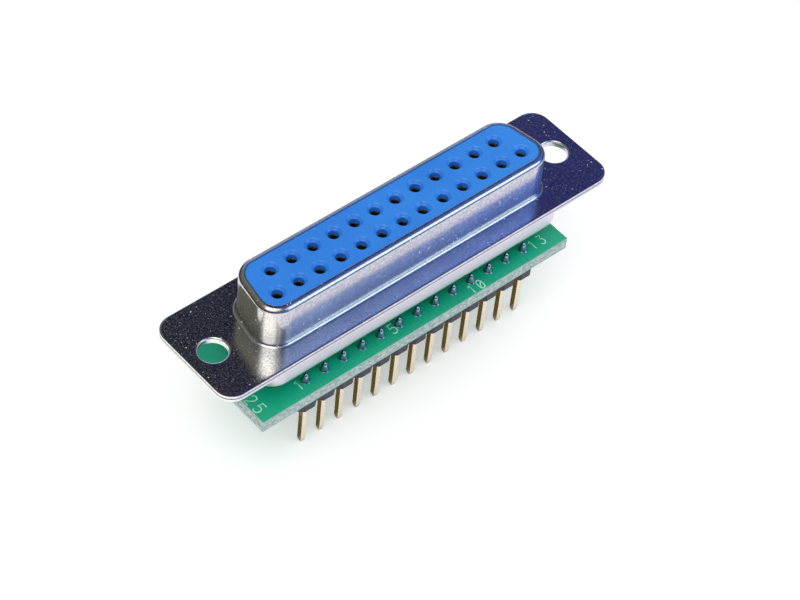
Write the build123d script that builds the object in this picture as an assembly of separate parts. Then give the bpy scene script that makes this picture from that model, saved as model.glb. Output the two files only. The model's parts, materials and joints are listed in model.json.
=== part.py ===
from build123d import *
import math
import os

# A 25-way D-sub socket on a small circuit board, with two strips of header pins under it.
# Millimetres. Origin: between the two mounting holes, on the flange's mating face.
# +X runs along the connector, its longer row of contacts is on the -Y side, +Z is the mating side.

# Contact grid
contact_pitch = 2.77
row_spacing = 2.84
near_count = 13
far_count = 12

# D-shaped shroud of the front shell, whose outside leaves room round the contacts' axes
sheet = 0.45
side_angle = 10.0
shroud_end = 2.63
shroud_side = 2.53
shroud_corner = 2.6
shroud_height = 5.55
root_round = 0.5
lip_round = 0.65
lip_reach = 0.7
shroud_length = (near_count - 1) * contact_pitch + 2 * shroud_end
shroud_width = row_spacing + 2 * shroud_side

# D-shaped cup of the rear shell, which stands out beyond the shroud
cup_end = 1.25
cup_side = 1.41
cup_corner = 2.4
cup_height = 3.4
cup_root = 0.3
cup_edge = 0.5
cup_ledge = 1.4
cup_length = shroud_length + 2 * cup_end
cup_width = shroud_width + 2 * cup_side

# Flange and its mounting holes, the same in both sheets
hole_radius = 1.6
hole_offset = 4.27
flange_end = 3.0
flange_side = 0.915
flange_corner = 2.0
hole_spacing = shroud_length + 2 * hole_offset
flange_length = hole_spacing + 2 * flange_end
flange_width = cup_width + 2 * flange_side

# Insulators and the sockets in the front one
slip_gap = 0.05
face_recess = 0.05
front_base = 1.6
socket_radius = 0.62
countersink_radius = 1.0
countersink_depth = 0.35
mouth_depth = 1.0

# Female contact: a slit barrel with a square tail
barrel_radius = 0.8
bore_radius = 0.51
bore_depth = 5.0
slot_width = 0.2
slot_depth = 3.6
tail_width = 0.5
tail_below = 1.3
tail_point = 0.3
tail_inset = 0.12
contact_gap = 0.03

# Header strips
header_pitch = 2.54
front_pin_count = 13
rear_pin_count = 12
header_rows = 10.16
header_width = 2.1
header_height = 2.15
header_flat = 1.3
notch_depth = 0.5
pin_width = 0.64
pin_above = 1.0
pin_below = 6.2
tip_length = 0.6
tip_inset = 0.17

# Circuit board, wider than the header rows and set off towards -X under the cup
board_side = 1.72
board_beyond = 1.7
board_short = 0.2
board_thickness = 1.6
board_drop = 5.9
drill_radius = 0.5
board_width = header_rows + 2 * board_side

# Solder fillets round the header pins above the board
pad_radius = 0.66
solder_height = 1.1
solder_skin = 0.1

# Sides of the small round forms: the mouth that shows, and what is hidden behind it
mouth_sides = 12
solder_sides = 8
hidden_sides = 6

# Levels that several pieces share
front_underside = -sheet
rear_underside = front_underside - sheet
lip_underside = shroud_height - sheet
face_level = shroud_height - face_recess
barrel_top = face_level - mouth_depth
cup_floor = rear_underside - cup_height
cup_seat = cup_floor + sheet
joint_level = front_underside - front_base
board_top = -board_drop
board_bottom = board_top - board_thickness
header_bottom = board_bottom - header_height


def d_face(length, width, corner, inset):
    """A D with rounded corners, wide side towards -Y, drawn in by inset all round."""
    length = length - 2 * inset
    width = width - 2 * inset
    corner = corner - inset
    angle = math.radians(side_angle)
    tangent_x = length / 2 - corner + corner * math.cos(angle)
    tangent_y = -width / 2 + corner + corner * math.sin(angle)
    wide = tangent_x + (tangent_y + width / 2) * math.tan(angle)
    narrow = wide - width * math.tan(angle)
    near = -width / 2
    far = width / 2
    face = Polygon((-wide, near), (wide, near), (narrow, far), (-narrow, far), align=None)
    return fillet(face.vertices(), corner)


def shroud_face(inset=0.0):
    return d_face(shroud_length, shroud_width, shroud_corner, inset)


def cup_face(inset=0.0):
    return d_face(cup_length, cup_width, cup_corner, inset)


def prism(face, low, high):
    """A flat face raised from one level to another."""
    return extrude(Location((0, 0, low)) * face, high - low, dir=(0, 0, 1))


def round_face(radius, sides):
    """A many-sided face round the given radius."""
    return RegularPolygon(radius, sides, major_radius=False)


def tapered(face, height, inset, level, upwards=True):
    """A flat-sided face at one level that draws in by inset over its height, up or down."""
    solid = extrude(face, height, taper=math.degrees(math.atan(inset / height)))
    if not upwards:
        solid = Rot(X=180) * solid
    return Location((0, 0, level)) * solid


def at(places, solid):
    """Copies of one solid, one at each place."""
    return [Location((x, y, 0)) * solid for x, y in places]


def loop_edges(solid, level, half_x, half_y):
    """The edges that lie flat at one level, within a rectangle about the middle."""
    flat = solid.edges().filter_by_position(Axis.Z, level - 1e-4, level + 1e-4)
    inner = flat.filter_by_position(Axis.X, -half_x, half_x)
    return inner.filter_by_position(Axis.Y, -half_y, half_y)


def flange_plate(low, high):
    """The flange of one sheet, with its two mounting holes."""
    face = RectangleRounded(flange_length, flange_width, flange_corner)
    for side in (-1, 1):
        face -= Location((side * hole_spacing / 2, 0)) * Circle(hole_radius)
    return prism(face, low, high)


def even_flare(outer_round):
    """Chamfer inside a drawn corner that keeps the sheet's thickness behind its outer round."""
    return (outer_round + sheet) * (2 - math.sqrt(2))


def make_front_shell():
    """Drawn sheet: flange, rounded root, D-shaped wall, and a lip turned in over the insulator."""
    shell = flange_plate(front_underside, 0) + prism(shroud_face(), front_underside, shroud_height)
    half_x = shroud_length / 2 + slip_gap
    half_y = shroud_width / 2 + slip_gap
    shell = fillet(loop_edges(shell, 0, half_x, half_y), root_round)
    shell = fillet(loop_edges(shell, shroud_height, half_x, half_y), lip_round)
    shell -= prism(shroud_face(sheet), front_underside, lip_underside)
    shell = chamfer(loop_edges(shell, front_underside, half_x, half_y), even_flare(root_round))
    return shell - prism(shroud_face(lip_reach), lip_underside - sheet, shroud_height + sheet)


def make_rear_shell():
    """Drawn sheet: flange, D-shaped cup, and a ledge turned in round the opening for the board side."""
    shell = flange_plate(rear_underside, front_underside) + prism(cup_face(), cup_floor, front_underside)
    half_x = cup_length / 2 + slip_gap
    half_y = cup_width / 2 + slip_gap
    shell = chamfer(loop_edges(shell, rear_underside, half_x, half_y), cup_root)
    shell = chamfer(loop_edges(shell, cup_floor, half_x, half_y), cup_edge)
    shell -= prism(cup_face(sheet), cup_seat, front_underside)
    return shell - prism(cup_face(cup_ledge), cup_floor - sheet, cup_seat + sheet)


def contact_places():
    """Axis of each contact, the longer row first, from -X to +X."""
    places = []
    for count, y in ((near_count, -row_spacing / 2), (far_count, row_spacing / 2)):
        for index in range(count):
            places.append(((index - (count - 1) / 2) * contact_pitch, y))
    return places


def header_places(count, y):
    """Axis of each pin of a header strip; both strips start in line with the first pin."""
    start = -(front_pin_count - 1) / 2 * header_pitch
    return [(start + index * header_pitch, y) for index in range(count)]


def make_front_insulator():
    """Moulded block: a stepped face inside the lip, a base between the shells, countersunk sockets."""
    block = prism(cup_face(sheet + slip_gap), joint_level, front_underside)
    block += prism(shroud_face(sheet + slip_gap), joint_level, lip_underside)
    block += prism(shroud_face(lip_reach + slip_gap), joint_level, face_level)
    shoulder = barrel_top + contact_gap
    socket = prism(round_face(barrel_radius + contact_gap, hidden_sides), joint_level, shoulder)
    socket += prism(round_face(socket_radius, mouth_sides), joint_level, face_level)
    rim = round_face(countersink_radius, mouth_sides)
    socket += tapered(rim, countersink_depth, countersink_radius - socket_radius, face_level, upwards=False)
    return block - at(contact_places(), socket)


def make_rear_insulator():
    """Moulded block in the cup that comes out through its floor, stands on the board and guides the tails."""
    block = prism(cup_face(sheet + slip_gap), cup_seat, joint_level)
    block += prism(cup_face(cup_ledge + slip_gap), board_top, joint_level)
    width = tail_width + 2 * contact_gap
    return block - at(contact_places(), prism(Rectangle(width, width), board_top, joint_level))


def make_contact():
    """Female contact: a bored barrel slit into two fingers, and a pointed solder tail."""
    bore_floor = barrel_top - bore_depth
    tail_end = board_bottom - tail_below
    tail = Rectangle(tail_width, tail_width)
    barrel = prism(round_face(barrel_radius, hidden_sides), joint_level, barrel_top)
    barrel -= prism(round_face(bore_radius, hidden_sides), bore_floor, barrel_top)
    barrel -= prism(Rectangle(2 * barrel_radius + sheet, slot_width), barrel_top - slot_depth, barrel_top)
    barrel += prism(tail, tail_end + tail_point, joint_level)
    return barrel + tapered(tail, tail_point, tail_inset, tail_end + tail_point, upwards=False)


def make_board(places):
    """Bare board with one drilled hole at each place."""
    left = -cup_length / 2 - board_beyond
    right = cup_length / 2 - board_short
    face = Location(((left + right) / 2, 0)) * Rectangle(right - left, board_width)
    drill = prism(round_face(drill_radius, hidden_sides), board_bottom, board_top)
    return prism(face, board_bottom, board_top) - at(places, drill)


def make_header_body(places):
    """Plastic strip, notched between its pins, with a square hole for each of them."""
    half = header_width / 2
    side = []
    for x, _ in places:
        side.append((x - header_pitch / 2, half - notch_depth))
        side.append((x - header_flat / 2, half))
        side.append((x + header_flat / 2, half))
    side.append((places[-1][0] + header_pitch / 2, half - notch_depth))
    row_y = places[0][1]
    upper = [(x, row_y + reach) for x, reach in side]
    lower = [(x, row_y - reach) for x, reach in reversed(side)]
    strip = prism(Polygon(*upper, *lower, align=None), header_bottom, board_bottom)
    return strip - at(places, prism(Rectangle(pin_width, pin_width), header_bottom, board_bottom))


def make_header_pin():
    """Square pin with a tapered tip, through the strip and the board."""
    square = Rectangle(pin_width, pin_width)
    tip_top = header_bottom - pin_below + tip_length
    shank = prism(square, tip_top, board_top + pin_above)
    return shank + tapered(square, tip_length, tip_inset, tip_top, upwards=False)


def make_solder():
    """Solder fillet that climbs from its pad to the top of a header pin."""
    inset = pad_radius - pin_width / 2 - solder_skin
    cone = tapered(round_face(pad_radius, solder_sides), solder_height, inset, board_top)
    return cone - prism(Rectangle(pin_width, pin_width), board_top, board_top + pin_above)


def save(name, shape):
    shape.label = name
    export_step(shape, f"parts/{name}.step")


os.makedirs("parts", exist_ok=True)

contacts = contact_places()
front_row = header_places(front_pin_count, -header_rows / 2)
rear_row = header_places(rear_pin_count, header_rows / 2)

save("front_shell", make_front_shell())
save("rear_shell", make_rear_shell())
save("front_insulator", make_front_insulator())
save("rear_insulator", make_rear_insulator())
save("circuit_board", make_board(contacts + front_row + rear_row))

for number, contact in enumerate(at(contacts, make_contact()), start=1):
    save(f"contact_{number:02d}", contact)

for row, places in (("front", front_row), ("rear", rear_row)):
    save(f"{row}_header_body", make_header_body(places))
    for number, pin in enumerate(at(places, make_header_pin()), start=1):
        save(f"{row}_pin_{number:02d}", pin)
    save(f"{row}_solder", Compound(children=at(places, make_solder())))
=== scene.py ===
import json
import math

import bmesh
import bpy
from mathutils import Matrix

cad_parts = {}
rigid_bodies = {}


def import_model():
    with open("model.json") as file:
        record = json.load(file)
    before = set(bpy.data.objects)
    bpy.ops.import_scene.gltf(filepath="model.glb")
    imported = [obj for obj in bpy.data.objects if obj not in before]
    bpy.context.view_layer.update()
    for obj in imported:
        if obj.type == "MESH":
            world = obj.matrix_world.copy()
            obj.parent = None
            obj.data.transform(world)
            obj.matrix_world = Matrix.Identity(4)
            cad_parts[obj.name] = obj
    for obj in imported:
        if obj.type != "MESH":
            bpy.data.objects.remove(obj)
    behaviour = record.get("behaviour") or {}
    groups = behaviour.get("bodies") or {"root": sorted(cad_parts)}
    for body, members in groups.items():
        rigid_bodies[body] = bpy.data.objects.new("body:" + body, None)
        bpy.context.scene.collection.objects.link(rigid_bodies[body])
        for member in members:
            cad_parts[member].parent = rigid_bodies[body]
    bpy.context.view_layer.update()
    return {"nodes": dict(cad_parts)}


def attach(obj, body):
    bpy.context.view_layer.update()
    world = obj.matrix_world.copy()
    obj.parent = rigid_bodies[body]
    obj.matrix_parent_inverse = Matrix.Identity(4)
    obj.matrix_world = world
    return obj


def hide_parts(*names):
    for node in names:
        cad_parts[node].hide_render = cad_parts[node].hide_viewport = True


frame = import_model()


# Front insulator
# The blue thermoplastic block that carries the contacts, injection moulded in one piece.
# It is stepped, so that its face stands inside the shell's lip, and a soft dimple leads into each socket.

mm = 0.001
tiny = 0.002 * mm
side_angle = 10
arc_steps = 12

contact_pitch = 2.77 * mm
row_spacing = 2.84 * mm
contact_rows = ((13, -row_spacing / 2), (12, row_spacing / 2))

block_foot = (40.0 * mm, 9.72 * mm, 1.9 * mm)
block_step = (37.5 * mm, 6.9 * mm, 2.1 * mm)
block_bottom = -2.05 * mm
block_shoulder = -0.45 * mm
lip_underside = 5.1 * mm
face_level = 5.5 * mm
face_inset = 0.22 * mm
face_round = 0.05 * mm
mouth_round = 0.62 * mm
dimple_round = 1.04 * mm
dimple_depth = 0.38 * mm
dimple_rings = 7
dimple_lean = 1.25
socket_round = 0.83 * mm
socket_shoulder = 4.53 * mm
socket_sides = 32


class Sock:
    """One socket of a node tree, so that shader maths reads as Python."""

    def __init__(self, tree, socket=None):
        self.tree = tree
        self.socket = socket

    def node(self, kind, settings=None, inputs=None, out=0):
        """Adds a node: its settings are made first, then the values or links of its sockets."""
        made = self.tree.nodes.new("ShaderNode" + kind)
        for key, value in (settings or {}).items():
            setattr(made, key, value)
        for key, value in (inputs or {}).items():
            if isinstance(value, Sock):
                self.tree.links.new(value.socket, made.inputs[key])
            else:
                made.inputs[key].default_value = value
        return Sock(self.tree, made.outputs[out] if made.outputs else None)

    def beside(self, name):
        """Another output of the node that this one belongs to."""
        return Sock(self.tree, self.socket.node.outputs[name])

    def math(self, operation, first, second):
        return self.node("Math", {"operation": operation}, {0: first, 1: second})

    def __add__(self, other):
        return self.math("ADD", self, other)

    def __sub__(self, other):
        return self.math("SUBTRACT", self, other)

    def __rsub__(self, other):
        return self.math("SUBTRACT", other, self)

    def __mul__(self, other):
        return self.math("MULTIPLY", self, other)

    def __abs__(self):
        return self.math("ABSOLUTE", self, 0.0)

    __radd__ = __add__
    __rmul__ = __mul__

    def dot(self, x, y, z):
        """How far this vector goes along another."""
        return self.node("VectorMath", {"operation": "DOT_PRODUCT"}, {0: self, 1: (x, y, z)}, out="Value")

    def ramp(self, low, high):
        """0 below low, 1 above high, and smooth between them."""
        limits = {"From Min": low, "From Max": high}
        if low > high:
            limits = {"From Min": high, "From Max": low, "To Min": 1.0, "To Max": 0.0}
        return self.node("MapRange", {"interpolation_type": "SMOOTHSTEP"}, {"Value": self, **limits})

    def mix(self, first, second):
        """The first colour where this mask is 0 and the second where it is 1."""
        return self.node("Mix", {"data_type": "RGBA"}, {0: self, 6: first, 7: second}, out=2)

    def noise(self, scale, detail=3.0, rough=0.55):
        inputs = {"Vector": self, "Scale": scale, "Detail": detail, "Roughness": rough}
        return self.node("TexNoise", None, inputs)

    def bump(self, height, distance, strength=1.0, under=None):
        """A bumped normal, laid over an earlier one where there is one."""
        inputs = {"Height": height, "Distance": distance, "Strength": strength}
        if under:
            inputs["Normal"] = under
        return self.node("Bump", None, inputs)


def new_finish(name):
    """An empty material and the Object coordinates that its patterns follow."""
    material = bpy.data.materials.new(name)
    material.use_nodes = True
    material.node_tree.nodes.clear()
    return material, Sock(material.node_tree).node("TexCoord", out="Object")


def surface(place, **inputs):
    """Ends a material in one Principled shader."""
    named = {key.replace("_", " ").title(): value for key, value in inputs.items()}
    shader = place.node("BsdfPrincipled", None, named)
    place.node("OutputMaterial", None, {"Surface": shader})


def new_piece(name):
    """An empty piece at the origin, open for editing."""
    bpy.ops.object.select_all(action="DESELECT")
    bpy.ops.object.add(type="MESH", location=(0, 0, 0))
    piece = bpy.context.object
    piece.name = piece.data.name = name
    bpy.ops.object.mode_set(mode="EDIT")
    return piece


def pick(kind, test, among_selected=False):
    """Selects the edges, faces or vertices of the open piece that pass a test, and nothing else."""
    shape = bmesh.from_edit_mesh(bpy.context.edit_object.data)
    items = {"VERT": shape.verts, "EDGE": shape.edges, "FACE": shape.faces}[kind]
    chosen = [item for item in items if (item.select or not among_selected) and test(item)]
    bpy.ops.mesh.select_mode(type=kind)
    bpy.ops.mesh.select_all(action="DESELECT")
    for item in chosen:
        item.select_set(True)
    shape.select_flush_mode()
    bmesh.update_edit_mesh(bpy.context.edit_object.data)


def at_level(level):
    """A test for an edge or face that lies flat at one level."""
    return lambda item: all(abs(vert.co.z - level) < tiny for vert in item.verts)


def lay_d(outline, level, grown=0.0):
    """Adds a flat D with its wide side towards -Y, and leaves its face selected."""
    length, width, corner = (outline[0] + 2 * grown, outline[1] + 2 * grown, outline[2] + grown)
    near_cut = corner * math.tan(math.radians(45 + side_angle / 2))
    far_cut = corner * math.tan(math.radians(45 - side_angle / 2))
    wide = length + 2 * (near_cut - corner)
    narrow = wide - 2 * width * math.tan(math.radians(side_angle))
    bpy.ops.mesh.primitive_plane_add(size=1, location=(0, 0, level))
    bpy.ops.transform.resize(value=(wide, width, 1), center_override=(0, 0, level))
    pick("VERT", lambda vert: vert.co.y > 0, among_selected=True)
    bpy.ops.transform.resize(value=(narrow / wide, 1, 1), center_override=(0, 0, level))
    for side, cut in ((-1, near_cut), (1, far_cut)):
        bpy.ops.mesh.select_linked()
        pick("VERT", lambda vert: side * vert.co.y > width / 2 - tiny, among_selected=True)
        bpy.ops.mesh.bevel(offset=cut, segments=arc_steps, affect="VERTICES", profile=0.5)
    bpy.ops.mesh.select_linked()
    bpy.ops.mesh.select_mode(type="FACE")


def carry_on(*steps):
    """Carries the selected faces on: each step is how far they close in and how far they move along."""
    for inset, rise in steps:
        bpy.ops.mesh.inset(thickness=inset, depth=rise, use_even_offset=True)


def quarter_round(radius, steps, hollow=False):
    """Steps for a quarter round that starts along the wall, or along the floor where it is hollow."""
    turns = [math.radians(90 * step / steps) for step in range(steps + 1)]
    pairs = [(1 - math.cos(turn), math.sin(turn)) for turn in turns]
    if hollow:
        pairs = [(math.sin(turn), 1 - math.cos(turn)) for turn in turns]
    return [(radius * (b[0] - a[0]), radius * (b[1] - a[1])) for a, b in zip(pairs, pairs[1:])]


def open_up():
    """Takes the selected faces away and leaves their edges."""
    bpy.ops.mesh.delete(type="ONLY_FACE")


def fill_level(level, margin=0.0):
    """Closes the flat area between all the open edges at one level, with a narrow margin along them."""
    flat = at_level(level)
    pick("EDGE", lambda edge: len(edge.link_faces) < 2 and flat(edge))
    bpy.ops.mesh.fill(use_beauty=True)
    if margin:
        pick("FACE", flat)
        carry_on((margin, 0))


def contact_places():
    """The axis of each contact, the longer row first, from -X to +X."""
    return [
        ((index - (count - 1) / 2) * contact_pitch, y)
        for count, y in contact_rows
        for index in range(count)
    ]


def lay_discs(places, radius, sides, level):
    """Adds one round face at each place and leaves them all selected."""
    for x, y in places:
        bpy.ops.mesh.primitive_circle_add(
            vertices=sides, radius=radius, fill_type="NGON", location=(x, y, level)
        )
    flat = at_level(level)
    pick("FACE", lambda face: len(face.verts) == sides and flat(face))


def join_up():
    """Merges what meets and turns every face outwards."""
    bpy.ops.mesh.select_all(action="SELECT")
    bpy.ops.mesh.remove_doubles(threshold=tiny)
    bpy.ops.mesh.normals_make_consistent(inside=False)


def add_modifier(kind, **settings):
    """Applies one modifier to the piece in hand."""
    modifier = bpy.context.object.modifiers.new(kind, kind)
    for key, value in settings.items():
        setattr(modifier, key, value)
    bpy.ops.object.modifier_apply(modifier=modifier.name)


def finish_piece(piece, material, nodes, smooth_angle=40):
    """Closes a piece: smooth shading, its material, and what it stands for."""
    bpy.ops.object.mode_set(mode="OBJECT")
    bpy.ops.object.shade_smooth_by_angle(angle=math.radians(smooth_angle))
    add_modifier("WEIGHTED_NORMAL", keep_sharp=True)
    piece.data.materials.clear()
    piece.data.materials.append(material)
    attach(piece, "root")
    if nodes:
        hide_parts(*nodes)


blue, place = new_finish("blue_moulding")
flow = place.noise(90, 2)
grain = place.noise(5200, 4, 0.7)
dust = place.node("TexVoronoi", None, {"Vector": place, "Scale": 1500.0}, out="Distance").ramp(0.10, 0.05)
dust = dust * place.noise(260, 1).ramp(0.52, 0.60)
base = flow.ramp(0.35, 0.7).mix((0.022, 0.210, 0.74, 1), (0.032, 0.255, 0.82, 1))
base = (grain.ramp(0.35, 0.75) * 0.35).mix(base, (0.040, 0.275, 0.86, 1))
surface(
    place,
    base_color=(dust * 0.5).mix(base, (0.55, 0.68, 0.85, 1)),
    roughness=0.22 + 0.14 * grain,
    normal=place.bump(grain, 0.008 * mm, 0.5),
)

block = new_piece("blue_insulator")
lay_d(block_foot, block_bottom)
carry_on((0, block_shoulder - block_bottom))
open_up()
lay_d(block_step, block_shoulder)
carry_on((0, lip_underside - block_shoulder), (face_inset, 0))
carry_on((0, face_level - lip_underside - face_round), (face_round, face_round))
open_up()
lay_discs(contact_places(), dimple_round + face_round, socket_sides, face_level)
carry_on((face_round, 0))
ring_steps = [step / dimple_rings for step in range(dimple_rings + 1)]
dimple = [(share, (1 - math.cos(math.pi * share ** dimple_lean)) / 2) for share in ring_steps]
for outer, inner in zip(dimple, dimple[1:]):
    closing = (dimple_round - mouth_round) * (inner[0] - outer[0])
    carry_on((closing, -dimple_depth * (inner[1] - outer[1])))
carry_on((0, socket_shoulder - face_level + dimple_depth))
open_up()
lay_discs(contact_places(), socket_round, socket_sides, block_bottom)
carry_on((0, socket_shoulder - block_bottom), (socket_round - mouth_round, 0))
open_up()
for level in (block_bottom, block_shoulder, face_level):
    fill_level(level)
join_up()
finish_piece(block, blue, ["front_insulator"])


# Front shell
# Steel sheet of 0.45 mm, blanked and deep drawn in one piece: a flange with two mounting holes,
# a D-shaped shroud on a rounded root, and a lip turned in over the insulator. Bright tin plate.

sheet = 0.45 * mm
shroud = (38.5 * mm, 7.9 * mm, 2.6 * mm)
shroud_height = 5.55 * mm
root_round = 0.42 * mm
root_steps = 10
lip_round = 0.65 * mm
lip_steps = 8
lip_flat = 0.05 * mm
flange_size = (53.04 * mm, 12.55 * mm)
flange_corner = 2.0 * mm
hole_spacing = 47.04 * mm
hole_round = 1.6 * mm
hole_sides = 48
hole_slack = 0.01 * mm
rim_round = 0.2 * mm
rim_steps = 4
edge_round = 0.06 * mm
edge_steps = 2
flat_margin = 0.28 * mm
sharp = math.radians(55)
rim_start = flange_corner - 0.13 * mm
rim_full = flange_corner - 0.05 * mm


def lay_flange(level):
    """Adds the flange round a drawn form, with its two mounting holes."""
    bpy.ops.mesh.primitive_plane_add(size=1, location=(0, 0, level))
    bpy.ops.transform.resize(value=(*flange_size, 1), center_override=(0, 0, level))
    bpy.ops.mesh.bevel(offset=flange_corner, segments=arc_steps, affect="VERTICES", profile=0.5)
    bpy.ops.mesh.select_linked()
    bpy.ops.mesh.select_mode(type="FACE")
    open_up()
    lay_discs([(side * hole_spacing / 2, 0) for side in (-1, 1)], hole_round, hole_sides, level)
    open_up()
    fill_level(level, flat_margin)


def by_a_hole(edge):
    """Whether an edge lies on the wall of a mounting hole."""
    return all(
        abs(math.hypot(abs(vert.co.x) - hole_spacing / 2, vert.co.y) - hole_round) < hole_slack
        for vert in edge.verts
    )


def give_thickness(outward):
    """Turns the drawn skin to face outwards, up or down at its flange, and thickens it to a sheet."""
    join_up()
    shape = bmesh.from_edit_mesh(bpy.context.edit_object.data)
    flange = max(shape.faces, key=lambda face: abs(face.calc_center_median().x))
    if flange.normal.z * outward < 0:
        bpy.ops.mesh.flip_normals()
    bpy.ops.object.mode_set(mode="OBJECT")
    add_modifier("SOLIDIFY", thickness=sheet, offset=-1.0, use_even_offset=True, use_quality_normals=True)
    bpy.ops.object.mode_set(mode="EDIT")


def soften_edges(rim_level):
    """Rounds the sheet's cut edges, more at the mounting holes' outer rims than elsewhere."""
    flat = at_level(rim_level)
    pick("EDGE", lambda edge: edge.calc_face_angle(0) > sharp and by_a_hole(edge) and flat(edge))
    bpy.ops.mesh.bevel(offset=rim_round, segments=rim_steps, affect="EDGES")
    pick("EDGE", lambda edge: edge.calc_face_angle(0) > sharp and not by_a_hole(edge))
    bpy.ops.mesh.bevel(offset=edge_round, segments=edge_steps, affect="EDGES")


def outline_masks(place):
    """How high a point lies, and a mask of the flange's outermost strip."""
    past_corner = []
    for axis, size in (((1, 0, 0), flange_size[0]), ((0, 1, 0), flange_size[1])):
        past = abs(place.dot(*axis)) - (size / 2 - flange_corner)
        past_corner.append(place.math("MAXIMUM", past, 0.0))
    past_x, past_y = past_corner
    reach = place.math("SQRT", past_x * past_x + past_y * past_y, 0.0)
    return place.dot(0, 0, 1), reach.ramp(rim_start, rim_full)


plating, place = new_finish("bright_plating")
rise, rim = outline_masks(place)
cloud = place.noise(170, 3)
fine = place.noise(4200, 4, 0.75)
grit = place.noise(5200, 3, 0.7)
specks = place.noise(3400, 2, 0.5).ramp(0.685, 0.71) * place.noise(330, 2).ramp(0.44, 0.56)
# The wall above the flange is darkened a little all over. Low on the drawn wall, near the root fillet,
# painted shade darkens it much more.
above_flange = rise.ramp(0.05 * mm, 0.35 * mm)
drawn = rise.ramp(2.9 * mm, 0.9 * mm) * above_flange
base = cloud.ramp(0.3, 0.7).mix((0.78, 0.77, 0.75, 1), (0.88, 0.87, 0.86, 1))
base = (fine.ramp(0.44, 0.58) * 0.6).mix(base, (0.46, 0.45, 0.43, 1))
base = (above_flange * 0.25 + drawn * 0.55).mix(base, (0.40, 0.40, 0.41, 1))
# A dark line runs along the top of the flange's cut edge. Painted shade runs along its bottom, where the two
# sheets meet.
base = (rim * rise.ramp(-0.14 * mm, -0.04 * mm) * 0.75).mix(base, (0.10, 0.11, 0.15, 1))
base = (rim * rise.ramp(-0.33 * mm, -0.42 * mm) * 0.85).mix(base, (0.12, 0.12, 0.14, 1))
ripple = place.bump(place.noise(190, 2), 0.03 * mm, 0.25)
surface(
    place,
    base_color=specks.mix(base, (0.85, 0.85, 0.84, 1)),
    metallic=1.0 - 0.11 * fine.ramp(0.505, 0.60) - 0.8 * specks,
    roughness=0.12 + 0.08 * grit.ramp(0.42, 0.62) + 0.03 * cloud,
    normal=place.bump(fine, 0.008 * mm, 0.5, ripple),
)

shell = new_piece("front_shell_drawn")
lay_d(shroud, 0.0, grown=root_round)
carry_on(*quarter_round(root_round, root_steps, hollow=True))
carry_on((0, shroud_height - root_round - lip_round))
carry_on(*quarter_round(lip_round, lip_steps), (lip_flat, 0))
open_up()
lay_flange(0.0)
give_thickness(outward=1)
soften_edges(0.0)
finish_piece(shell, plating, ["front_shell"])


# Rear shell
# A second sheet of the same steel behind the first: the same flange, and a wider D-shaped cup that holds
# the rear insulator. Its floor has a large opening for the contacts. Satin tin plate.

cup = (41.0 * mm, 10.72 * mm, 2.4 * mm)
rear_underside = -0.9 * mm
cup_height = 3.4 * mm
cup_root = 0.3 * mm
cup_root_steps = 5
cup_edge = 0.5 * mm
cup_edge_steps = 8
cup_ledge = 1.4 * mm

satin, place = new_finish("satin_plating")
rise, rim = outline_masks(place)
fine = place.noise(2200, 5, 0.7)
base = place.noise(110, 3).ramp(0.3, 0.7).mix((0.80, 0.765, 0.765, 1), (0.85, 0.82, 0.815, 1))
base = (fine.ramp(0.45, 0.8) * 0.5).mix(base, (0.70, 0.67, 0.66, 1))
# Painted shade along the top of the rear sheet's cut edge, where it meets the front sheet above.
base = (rim * rise.ramp(-0.57 * mm, -0.48 * mm) * 0.85).mix(base, (0.12, 0.12, 0.14, 1))
surface(
    place,
    base_color=base,
    metallic=1.0,
    roughness=0.24 + 0.16 * fine,
    normal=place.bump(fine, 0.008 * mm, 0.5),
)

shell = new_piece("rear_shell_drawn")
lay_d(cup, rear_underside, grown=cup_root)
bpy.ops.mesh.flip_normals()
carry_on(*quarter_round(cup_root, cup_root_steps, hollow=True))
carry_on((0, cup_height - cup_root - cup_edge))
carry_on(*quarter_round(cup_edge, cup_edge_steps), (cup_ledge - cup_edge, 0))
open_up()
lay_flange(rear_underside)
give_thickness(outward=-1)
soften_edges(rear_underside)
finish_piece(shell, satin, ["rear_shell"])


# Rear insulator
# The black moulded block in the cup. It comes out through the cup's floor, stands on the board
# and guides the contacts' tails. Its solid has the right shape and stays.

black, place = new_finish("black_moulding")
grain = place.noise(4200, 4, 0.7)
surface(
    place,
    base_color=grain.ramp(0.3, 0.8).mix((0.012, 0.012, 0.014, 1), (0.03, 0.03, 0.034, 1)),
    roughness=0.45 + 0.2 * grain,
    normal=place.bump(grain, 0.01 * mm, 0.5),
)
guide = frame["nodes"]["rear_insulator"]
guide.data.materials.clear()
guide.data.materials.append(black)


# Contacts
# Twenty-five female contacts, each turned and slit into two spring fingers round a bore,
# with a square solder tail that goes down through the board. Gold flashed copper alloy.

barrel_round = 0.8 * mm
barrel_top = 4.5 * mm
bore_round = 0.51 * mm
bore_depth = 5.0 * mm
slot_width = 0.2 * mm
slot_depth = 3.6 * mm
slot_reach = 2.4 * mm
mouth_lead = 0.12 * mm
tail_width = 0.5 * mm
tail_end = -8.8 * mm
tail_point = 0.3 * mm
tail_inset = 0.12 * mm
barrel_sides = 24

gold, place = new_finish("contact_gold")
fine = place.noise(2400, 4, 0.65)
surface(
    place,
    base_color=fine.ramp(0.3, 0.75).mix((0.90, 0.70, 0.36, 1), (0.80, 0.58, 0.26, 1)),
    metallic=1.0,
    roughness=0.16 + 0.16 * fine,
    normal=place.bump(fine, 0.005 * mm, 0.4),
)


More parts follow.
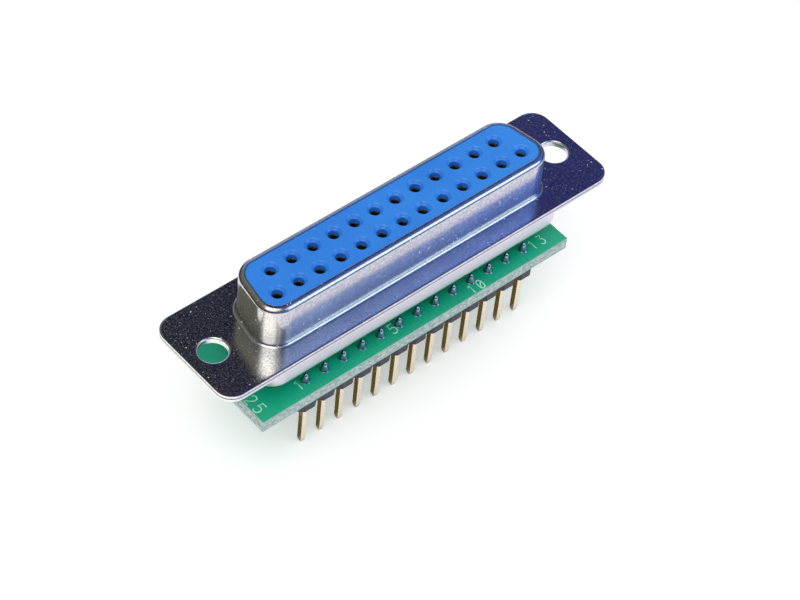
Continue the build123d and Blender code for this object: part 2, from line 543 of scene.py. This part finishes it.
def place_copies(model, places, prefix, material, nodes):
    """Copies a finished model to each place, each copy with its own mesh, and takes the model away."""
    for (x, y), node in zip(places, nodes):
        bpy.ops.object.select_all(action="DESELECT")
        copy = model.copy()
        copy.data = model.data.copy()
        copy.name = copy.data.name = f"{prefix}_{node}"
        bpy.context.collection.objects.link(copy)
        copy.select_set(True)
        bpy.context.view_layer.objects.active = copy
        copy.location = (x, y, 0)
        bpy.ops.object.transform_apply(location=True, rotation=False, scale=False)
        finish_piece(copy, material, [node])
    bpy.data.objects.remove(model)


contact = new_piece("contact_model")
bpy.ops.mesh.primitive_circle_add(
    vertices=barrel_sides, radius=barrel_round, fill_type="NGON", location=(0, 0, block_bottom)
)
bpy.ops.mesh.select_all(action="SELECT")
carry_on((0, barrel_top - block_bottom - mouth_lead), (mouth_lead / 2, mouth_lead))
carry_on((barrel_round - bore_round - mouth_lead, 0), (mouth_lead / 2, -mouth_lead))
carry_on((0, mouth_lead - bore_depth))
pick("EDGE", lambda edge: edge.is_boundary and at_level(block_bottom)(edge))
bpy.ops.mesh.edge_face_add()
bpy.ops.mesh.primitive_cube_add(size=1, location=(0, 0, 0))
bpy.ops.transform.resize(value=(tail_width, tail_width, block_bottom - tail_end), center_override=(0, 0, 0))
bpy.ops.transform.translate(value=(0, 0, (block_bottom + tail_end) / 2))
pick("FACE", at_level(tail_end), among_selected=True)
bpy.ops.transform.translate(value=(0, 0, tail_point))
carry_on((tail_inset, tail_point))
join_up()
bpy.ops.object.mode_set(mode="OBJECT")
bpy.ops.mesh.primitive_cube_add(size=1, location=(0, 0, 0))
cutter = bpy.context.object
cutter.scale = (slot_reach, slot_width, 2 * slot_depth)
cutter.location = (0, 0, barrel_top)
bpy.ops.object.select_all(action="DESELECT")
bpy.context.view_layer.objects.active = contact
contact.select_set(True)
add_modifier("BOOLEAN", object=cutter, operation="DIFFERENCE", solver="EXACT")
bpy.data.objects.remove(cutter)
contact_nodes = [f"contact_{number:02d}" for number in range(1, 26)]
place_copies(contact, contact_places(), "socket", gold, contact_nodes)


# Circuit board
# Glass-epoxy laminate 1.6 mm thick, milled to a plain rectangle and drilled for every tail and pin.
# Green solder mask on both faces, and bare pale laminate at its cut edges.

header_pitch = 2.54 * mm
header_start = -15.24 * mm
header_row = 5.08 * mm
front_places = [(header_start + index * header_pitch, -header_row) for index in range(13)]
rear_places = [(header_start + index * header_pitch, header_row) for index in range(12)]
board_left = -22.2 * mm
board_right = 20.3 * mm
board_width = 13.6 * mm
board_top = -5.9 * mm
board_bottom = -7.5 * mm
drill_round = 0.5 * mm
drill_sides = 16
mask_start = 0.785 * mm
mask_full = 0.797 * mm

mask_green, place = new_finish("board_laminate")
from_middle = abs(place.dot(0, 0, 1) - (board_top + board_bottom) / 2)
on_face = from_middle.ramp(mask_start, mask_full)
threads = {"Vector": place, "Scale": 600.0, "Distortion": 1.2}
weave = place.node("TexWave", {"bands_direction": "X"}, threads)
weave = weave * place.node("TexWave", {"bands_direction": "Y"}, threads)
cloud = place.noise(130, 3)
fibres = place.node("Mapping", None, {"Vector": place, "Scale": (1.0, 1.0, 1.8)}).noise(1900, 5, 0.75)
green = cloud.ramp(0.3, 0.7).mix((0.003, 0.38, 0.21, 1), (0.006, 0.46, 0.26, 1))
green = (weave * 0.25).mix(green, (0.012, 0.53, 0.31, 1))
edge = fibres.ramp(0.36, 0.66).mix((0.22, 0.32, 0.31, 1), (0.60, 0.69, 0.68, 1))
stain = (from_middle + 0.9 * mm * fibres).ramp(1.08 * mm, 1.30 * mm)
edge = (stain * 0.7).mix(edge, (0.02, 0.42, 0.26, 1))
surface(
    place,
    base_color=on_face.mix(edge, green),
    roughness=on_face * -0.34 + (0.62 + 0.1 * fibres),
    normal=place.bump(weave * 0.3 * on_face + fibres * (1.0 - on_face), 0.02 * mm, 0.35),
)


def on_outline(edge):
    """Whether an edge of the board lies at its outside."""
    centre = (edge.verts[0].co + edge.verts[1].co) / 2
    across = abs(abs(centre.y) - board_width / 2) < tiny
    return across or abs(centre.x - board_left) < tiny or abs(centre.x - board_right) < tiny


board = new_piece("laminate_board")
bpy.ops.mesh.primitive_plane_add(size=1, location=(0, 0, board_top))
board_length = board_right - board_left
bpy.ops.transform.resize(value=(board_length, board_width, 1), center_override=(0, 0, board_top))
bpy.ops.transform.translate(value=((board_left + board_right) / 2, 0, 0))
open_up()
lay_discs(contact_places() + front_places + rear_places, drill_round, drill_sides, board_top)
open_up()
fill_level(board_top, flat_margin)
bpy.ops.mesh.select_all(action="SELECT")
bpy.ops.mesh.extrude_region_move(TRANSFORM_OT_translate={"value": (0, 0, board_bottom - board_top)})
join_up()
pick("EDGE", lambda edge: edge.calc_face_angle(0) > sharp and on_outline(edge))
bpy.ops.mesh.bevel(offset=edge_round, segments=edge_steps, affect="EDGES")
finish_piece(board, mask_green, ["circuit_board"])


# Pin numbers
# Screen-printed in white ink on the board's upper face, in single strokes of even width.
# They count the socket's contacts, from 1 at the left to 13 at the right, and 25 on the other row.
# A number's place is its lower left corner, then comes its height and its turn in degrees.

stroke_width = 0.14 * mm
ink_rise = 0.012 * mm
digit_step = 1.0
digit_strokes = {
    "0": [[(0.0, 0.3), (0.06, 0.1), (0.26, 0.0), (0.46, 0.1), (0.52, 0.3), (0.52, 0.7),
           (0.46, 0.9), (0.26, 1.0), (0.06, 0.9), (0.0, 0.7), (0.0, 0.3)],
          [(0.02, 0.16), (0.50, 0.84)]],
    "1": [[(0.08, 0.80), (0.28, 1.0), (0.28, 0.0)]],
    "2": [[(0.02, 0.78), (0.10, 0.94), (0.28, 1.0), (0.46, 0.92), (0.52, 0.74), (0.46, 0.54),
           (0.0, 0.0), (0.52, 0.0)]],
    "3": [[(0.02, 1.0), (0.50, 1.0), (0.24, 0.60), (0.42, 0.56), (0.52, 0.36), (0.48, 0.14),
           (0.28, 0.0), (0.10, 0.04), (0.0, 0.16)]],
    "5": [[(0.48, 1.0), (0.06, 1.0), (0.02, 0.56), (0.24, 0.64), (0.44, 0.56), (0.52, 0.34),
           (0.44, 0.10), (0.24, 0.0), (0.08, 0.04), (0.0, 0.16)]],
}
number_places = {
    "1": (-16.57 * mm, -5.81 * mm, 1.25 * mm, 0),
    "5": (-3.85 * mm, -5.85 * mm, 1.32 * mm, 0),
    "10": (6.60 * mm, -6.68 * mm, 1.22 * mm, 0),
    "13": (16.20 * mm, -5.87 * mm, 1.25 * mm, 0),
    "25": (-22.05 * mm, -3.35 * mm, 1.40 * mm, -90),
}

ink, place = new_finish("white_ink")
wear = place.noise(2600, 4, 0.7)
surface(
    place,
    base_color=wear.ramp(0.3, 0.7).mix((0.26, 0.80, 0.60, 1), (0.66, 1.0, 0.87, 1)),
    roughness=0.45 + 0.2 * wear,
)


def print_number(text, corner_x, corner_y, height, turn):
    """Lays one number on the board as strokes of ink, read from its lower left corner."""
    pen = bpy.data.curves.new(f"number_{text}", "CURVE")
    pen.dimensions = "3D"
    pen.bevel_depth = stroke_width / 2
    pen.bevel_resolution = 3
    pen.use_fill_caps = True
    for order, digit in enumerate(text):
        for stroke in digit_strokes[digit]:
            line = pen.splines.new("POLY")
            line.points.add(len(stroke) - 1)
            for point, (across, up) in zip(line.points, stroke):
                point.co = ((across + order * digit_step) * height, up * height, 0, 1)
    drawn = bpy.data.objects.new(f"number_{text}", pen)
    bpy.context.collection.objects.link(drawn)
    bpy.ops.object.select_all(action="DESELECT")
    drawn.select_set(True)
    bpy.context.view_layer.objects.active = drawn
    bpy.ops.object.convert(target="MESH")
    drawn.scale = (1, 1, 2 * ink_rise / stroke_width)
    drawn.rotation_euler = (0, 0, math.radians(turn))
    drawn.location = (corner_x, corner_y, board_top)
    bpy.ops.object.transform_apply(location=True, rotation=True, scale=True)
    finish_piece(drawn, ink, [])


for text, (corner_x, corner_y, height, turn) in number_places.items():
    print_number(text, corner_x, corner_y, height, turn)


# Header strips
# Two moulded strips under the board, one cell to each pin, notched between the cells so that they
# snap to length. Black glass-filled plastic.

header_width = 2.1 * mm
header_height = 2.15 * mm
header_flat = 1.3 * mm
notch_depth = 0.5 * mm
strip_round = 0.05 * mm
strip_crease = math.radians(30)
strip_middle = board_bottom - header_height / 2
facing = 0.9

slate, place = new_finish("strip_moulding")
grain = place.noise(3600, 4, 0.7)
surface(
    place,
    base_color=grain.ramp(0.3, 0.75).mix((0.022, 0.022, 0.028, 1), (0.055, 0.054, 0.065, 1)),
    roughness=0.38 + 0.2 * grain,
    normal=place.bump(grain, 0.012 * mm, 0.5),
)


def make_strip(name, places, node):
    """Models one cell of a strip, repeats it for each pin and joins the cells."""
    strip = new_piece(name)
    notch_run = (header_pitch - header_flat) / 2
    for x, y in places:
        middle = (x, y, strip_middle)
        bpy.ops.mesh.primitive_cube_add(size=1, location=middle)
        bpy.ops.transform.resize(value=(header_flat, header_width, header_height), center_override=middle)
        for side in (-1, 1):
            bpy.ops.mesh.select_linked()
            pick("FACE", lambda face: face.normal.x * side > facing and
                 side * (face.calc_center_median().x - x) > header_flat / 2 - tiny, among_selected=True)
            bpy.ops.mesh.extrude_region_move(TRANSFORM_OT_translate={"value": (side * notch_run, 0, 0)})
            bpy.ops.transform.resize(value=(1, 1 - 2 * notch_depth / header_width, 1), center_override=middle)
    ends = (places[0][0] - header_pitch / 2, places[-1][0] + header_pitch / 2)
    pick("FACE", lambda face: abs(face.normal.x) > facing and
         min(abs(face.calc_center_median().x - end) for end in ends) > tiny)
    bpy.ops.mesh.delete(type="FACE")
    join_up()
    pick("EDGE", lambda edge: edge.calc_face_angle(0) > strip_crease)
    bpy.ops.mesh.bevel(offset=strip_round, segments=edge_steps, affect="EDGES")
    finish_piece(strip, slate, [node])


make_strip("front_strip", front_places, "front_header_body")
make_strip("rear_strip", rear_places, "rear_header_body")


# Header pins
# Twenty-five square pins of 0.64 mm, pressed through the strips, with tapered tips below and cut ends
# above the board. Gold flashed brass.

pin_width = 0.64 * mm
pin_top = -4.9 * mm
pin_end = -15.85 * mm
tip_taper = ((0.07 * mm, 0.30 * mm), (0.05 * mm, 0.20 * mm), (0.06 * mm, 0.10 * mm))
cut_taper = ((0.16 * mm, 0.40 * mm), (0.05 * mm, 0.50 * mm))
pin_round = 0.045 * mm

flash, place = new_finish("pin_gold")
fine = place.noise(2000, 4, 0.65)
streaks = place.node("Mapping", None, {"Vector": place, "Scale": (1.0, 1.0, 0.15)}).noise(3600, 3)
surface(
    place,
    base_color=fine.ramp(0.35, 0.70).mix((1.0, 0.90, 0.66, 1), (0.95, 0.83, 0.52, 1)),
    metallic=1.0,
    roughness=0.20 + 0.15 * fine,
    normal=place.bump(streaks, 0.006 * mm, 0.25),
)

pin = new_piece("pin_model")
middle = (0, 0, (pin_top + pin_end) / 2)
bpy.ops.mesh.primitive_cube_add(size=1, location=middle)
bpy.ops.transform.resize(value=(pin_width, pin_width, pin_top - pin_end), center_override=middle)
for level, along, taper in ((pin_end, 1, tip_taper), (pin_top, -1, cut_taper)):
    pick("FACE", at_level(level))
    bpy.ops.transform.translate(value=(0, 0, along * sum(run for _, run in taper)))
    carry_on(*taper)
pick("EDGE", lambda edge: edge.calc_face_angle(0) > sharp)
bpy.ops.mesh.bevel(offset=pin_round, segments=edge_steps, affect="EDGES")
bpy.ops.object.mode_set(mode="OBJECT")
pin_nodes = [f"front_pin_{number:02d}" for number in range(1, 14)]
pin_nodes += [f"rear_pin_{number:02d}" for number in range(1, 13)]
place_copies(pin, front_places + rear_places, "plated", flash, pin_nodes)


# Solder joints
# Tin solder, run by hand round each pin on its pad above the board, and round each contact's tail below it.
# Each is a hollow cone that climbs to a rounded top.

joint_sides = 24
pin_joint = ((0.54, 0.0), (0.50, 0.05), (0.45, 0.14), (0.40, 0.28), (0.355, 0.45), (0.31, 0.64),
             (0.265, 0.80), (0.21, 0.92), (0.14, 1.01), (0.04, 1.07))
tail_joint = ((0.80, 0.0), (0.78, 0.03), (0.70, 0.10), (0.60, 0.24), (0.51, 0.44), (0.45, 0.66),
              (0.40, 0.86), (0.32, 0.98), (0.20, 1.03))
joint_crease = 60

tin, place = new_finish("bright_solder")
fine = place.noise(1500, 3)
surface(
    place,
    base_color=fine.ramp(0.3, 0.7).mix((0.46, 0.50, 0.62, 1), (0.34, 0.37, 0.50, 1)),
    metallic=1.0,
    roughness=0.13 + 0.08 * fine,
    normal=place.bump(fine, 0.02 * mm, 0.4),
)


def make_joints(name, places, level, profile, nodes, downwards=False):
    """Draws each pad up into its joint, from the profile's radii and heights in millimetres."""
    joints = new_piece(name)
    lay_discs(places, profile[0][0] * mm, joint_sides, level)
    if downwards:
        bpy.ops.mesh.flip_normals()
    carry_on(*[((a[0] - b[0]) * mm, (b[1] - a[1]) * mm) for a, b in zip(profile, profile[1:])])
    pick("EDGE", lambda edge: edge.is_boundary)
    bpy.ops.mesh.fill_holes(sides=0)
    join_up()
    finish_piece(joints, tin, nodes, smooth_angle=joint_crease)


make_joints("front_joints", front_places, board_top, pin_joint, ["front_solder"])
make_joints("rear_joints", rear_places, board_top, pin_joint, ["rear_solder"])
make_joints("tail_joints", contact_places(), board_bottom, tail_joint, [], downwards=True)


# Floor
# A plain white sweep for the part to stand on, which keeps its shadow. In the plating it is mirrored as
# a lit sheet round the part with a painted lavender reflection, paler far to the left, painted warm shade
# under the part, and a dark table beyond with a painted blue glow towards the window.

floor_level = -15.85 * mm
floor_size = 6
part_reach = (22 * mm, 6.8 * mm)


def ray_kinds(place):
    """Masks of the rays that come from a mirroring surface, and of all that show the background."""
    camera_rays = place.node("LightPath", out="Is Camera Ray")
    mirrored = camera_rays.beside("Is Glossy Ray")
    return mirrored, camera_rays + mirrored + camera_rays.beside("Is Transmission Ray")


bpy.ops.object.select_all(action="DESELECT")
bpy.ops.mesh.primitive_plane_add(size=floor_size, location=(0, 0, floor_level))
floor = bpy.context.object
floor.name = "floor"
white, place = new_finish("white_sweep")
mirrored, seen = ray_kinds(place)
across, along = place.dot(1, 0, 0), place.dot(0, 1, 0)
reach = place.math("MAXIMUM", abs(across) - part_reach[0], abs(along) - part_reach[1])
sheet_lit = reach.ramp(-2.5 * mm, -0.8 * mm) * reach.ramp(70 * mm, 35 * mm)
# Painted reflection: in the plating the lit sheet is tinted lavender, paler far to the left.
painted_mirror_tint = across.ramp(-32 * mm, -14 * mm).mix((0.96, 0.96, 0.95, 1), (0.76, 0.75, 0.88, 1))
tint = mirrored.mix((1, 1, 1, 1), painted_mirror_tint)
paper = place.node("BsdfDiffuse", None, {"Color": mirrored.mix((0.86, 0.86, 0.86, 1), painted_mirror_tint)})
glow = place.node("Emission", None, {"Color": tint, "Strength": seen * 0.30})
lit = place.node("AddShader", None, {0: paper, 1: glow})
# Seen only in the plating: a dark table with a painted blue glow towards the window, and painted warm shade
# under the part.
painted_table_glow_and_shade = place.dot(0.50, -0.86, 0).ramp(45 * mm, 90 * mm).mix((0.035, 0.036, 0.045, 1), (0.17, 0.27, 0.52, 1))
painted_table_glow_and_shade = reach.ramp(-0.8 * mm, -2.5 * mm).mix(painted_table_glow_and_shade, (0.085, 0.068, 0.018, 1))
table = place.node("Emission", None, {"Color": painted_table_glow_and_shade, "Strength": 1.0})
ground = place.node("MixShader", None, {0: mirrored * (1.0 - sheet_lit), 1: lit, 2: table})
place.node("OutputMaterial", None, {"Surface": ground})
floor.data.materials.append(white)


# Lamps and surroundings
# A window at the right and a soft box at the left. The room is plain white air for all light but the
# mirrored, which finds dark, blue and pale parts of a room, each given by its direction.


def add_lamp(name, position, size, power, colour):
    """An area lamp that faces the part."""
    lamp = bpy.data.lights.new(name, "AREA")
    lamp.shape = "RECTANGLE"
    lamp.size, lamp.size_y = size
    lamp.energy = power
    lamp.color = colour
    holder = bpy.data.objects.new(name, lamp)
    holder.location = position
    holder.rotation_euler = (-holder.location).to_track_quat("-Z", "Y").to_euler()
    bpy.context.collection.objects.link(holder)


add_lamp("window", (0.250, -0.382, 0.203), (0.35, 0.22), 0.34, (0.76, 0.92, 1.0))
add_lamp("softbox", (-0.26, -0.121, 0.41), (0.35, 0.45), 0.70, (1.0, 0.98, 0.95))

world = bpy.data.worlds.new("studio")
bpy.context.scene.world = world
world.use_nodes = True
world.node_tree.nodes.clear()
way = Sock(world.node_tree).node("TexCoord", out="Generated")
to_right = (0.71, -0.71, 0)


def lay_zones(ground, *zones):
    """Lays zones over a colour: each is a direction, where it starts, where it is full, and its colour."""
    for direction, start, full, colour in zones:
        ground = way.dot(*direction).ramp(start, full).mix(ground, (*colour, 1))
    return ground


room = lay_zones(
    (0.005, 0.006, 0.007, 1),
    (to_right, -0.05, 0.05, (0.012, 0.014, 0.150)),
    (to_right, 0.15, 0.40, (0.075, 0.12, 0.28)),
    (to_right, -0.15, -0.40, (0.22, 0.23, 0.235)),
)
deep = way.dot(*to_right).ramp(0.52, 0.64) * way.dot(0.48, -0.48, 0.74).ramp(0.78, 0.86)
room = deep.mix(room, (0.036, 0.150, 0.92, 1))
room = (way.dot(-0.6, -0.8, 0).ramp(0.098, 0.125) * deep).mix(room, (0.58, 0.82, 1.3, 1))
room = lay_zones(
    room,
    ((-0.6, 0.8, 0), 0.5, 0.62, (0.14, 0.145, 0.105)),
    ((0.49, 0.82, 0.30), 0.90, 0.97, (0.25, 0.40, 0.80)),
    ((-0.52, -0.36, 0.77), 0.80, 0.90, (0.74, 0.75, 0.74)),
)
horizon = lay_zones(
    (0.035, 0.036, 0.045, 1),
    ((0.71, 0.71, 0), 0.85, 0.95, (0.6, 0.6, 0.65)),
    ((0.50, -0.86, 0), 0.80, 0.93, (0.17, 0.27, 0.52)),
)
room = way.dot(0, 0, 1).ramp(0.16, 0.26).mix(horizon, room)
mirrored, seen = ray_kinds(way)
colour = mirrored.mix((1, 1, 1, 1), room)
air = way.node("Background", None, {"Color": colour, "Strength": 0.78 + 0.22 * seen})
way.node("OutputWorld", None, {"Surface": air})


# Camera
# A long lens that looks down over the part's near left corner, from where the photograph was taken.
# It was fitted to the connector's known sizes.

lens = bpy.data.cameras.new("camera")
lens.lens = 117.73
lens.sensor_width = 36
lens.clip_start = 0.01
camera = bpy.data.objects.new("camera", lens)
camera.location = (-0.131969, -0.130857, 0.201840)
camera.rotation_euler = [math.radians(turn) for turn in (41.3114, -4.4350, -40.7356)]
bpy.context.collection.objects.link(camera)
bpy.context.scene.camera = camera
bpy.context.scene.view_settings.view_transform = "Standard"
